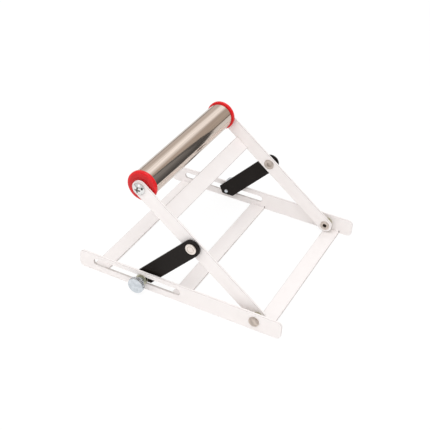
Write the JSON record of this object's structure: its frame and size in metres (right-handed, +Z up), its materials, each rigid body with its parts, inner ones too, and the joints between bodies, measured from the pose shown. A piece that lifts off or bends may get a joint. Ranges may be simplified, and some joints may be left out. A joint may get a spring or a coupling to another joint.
{
  "type": "folding roller work support",
  "caption": "Low folding stand: slotted flat-bar base, two hinged arms carrying a steel roller, and black links clamped by thumb screws.",
  "frame": {"origin": "centre of the overall box, on the ground the rails stand on", "axes": "+X along the rails towards the arm pivots, +Y along the roller, +Z up"},
  "size_m": [0.3, 0.2992, 0.1674],
  "materials": {
    "white_paint": "powder coated",
    "black_paint": "powder coated",
    "polished_tube": "polished stainless",
    "red_plastic": "moulded",
    "rivet_steel": "plain",
    "zinc_screw": "zinc plated",
    "bright_screw": "nickel plated",
    "plated_steel": "zinc plated",
    "bronze": "sintered bronze"
  },
  "bodies": {
    "base": {"near_rail": "white_paint", "far_rail": "white_paint", "left_cross_bar": "white_paint", "middle_cross_bar": "white_paint", "right_cross_bar": "white_paint", "base_welds": "white_paint", "near_pivot_rivet": "rivet_steel", "far_pivot_rivet": "rivet_steel", "near_pivot_sleeve": "plated_steel", "far_pivot_sleeve": "plated_steel"},
    "arm_frame": {"near_arm": "white_paint", "far_arm": "white_paint", "arm_cross_bar": "white_paint", "arm_welds": "white_paint", "near_link_rivet": "rivet_steel", "far_link_rivet": "rivet_steel", "near_link_washer": "plated_steel", "far_link_washer": "plated_steel", "roller_axle": "plated_steel", "near_axle_screw": "bright_screw", "far_axle_screw": "bright_screw", "near_axle_washer": "plated_steel", "far_axle_washer": "plated_steel"},
    "roller": {"roller_tube": "polished_tube", "near_end_cap": "red_plastic", "far_end_cap": "red_plastic", "near_bush": "bronze", "far_bush": "bronze"},
    "near_link": {"near_link": "black_paint", "near_slot_washer": "plated_steel"},
    "far_link": {"far_link": "black_paint", "far_slot_washer": "plated_steel"},
    "near_thumb_screw": {"near_thumb_screw": "zinc_screw", "near_thumb_washer": "plated_steel"},
    "far_thumb_screw": {"far_thumb_screw": "zinc_screw", "far_thumb_washer": "plated_steel"}
  },
  "joints": [
    {"name": "arm_fold", "type": "hinge", "parent": "base", "child": "arm_frame", "pos_m": [0.112, 0, 0.0135], "axis": [0, 1, 0], "range_deg": [-30.5, 10.4]},
    {"name": "roller_spin", "type": "hinge", "parent": "arm_frame", "child": "roller", "pos_m": [-0.06679, 0, 0.14628], "axis": [0, 1, 0], "continuous": true},
    {"name": "near_link_swing", "type": "hinge", "parent": "arm_frame", "child": "near_link", "pos_m": [0.01406, 0, 0.08624], "axis": [0, 1, 0], "range_deg": [-24.52, 71.72]},
    {"name": "far_link_swing", "type": "hinge", "parent": "arm_frame", "child": "far_link", "pos_m": [0.01406, 0, 0.08624], "axis": [0, 1, 0], "range_deg": [-24.52, 71.72]},
    {"name": "near_thumb_turn", "type": "hinge", "parent": "near_link", "child": "near_thumb_screw", "pos_m": [-0.05316, 0, 0.01356], "axis": [0, 1, 0], "continuous": true},
    {"name": "far_thumb_turn", "type": "hinge", "parent": "far_link", "child": "far_thumb_screw", "pos_m": [-0.05316, 0, 0.01356], "axis": [0, 1, 0], "continuous": true}
  ],
  "couplings": [
    {"joint": "near_link_swing", "follows": "arm_fold", "ratio": -2.3483},
    {"joint": "far_link_swing", "follows": "arm_fold", "ratio": -2.3483}
  ]
}
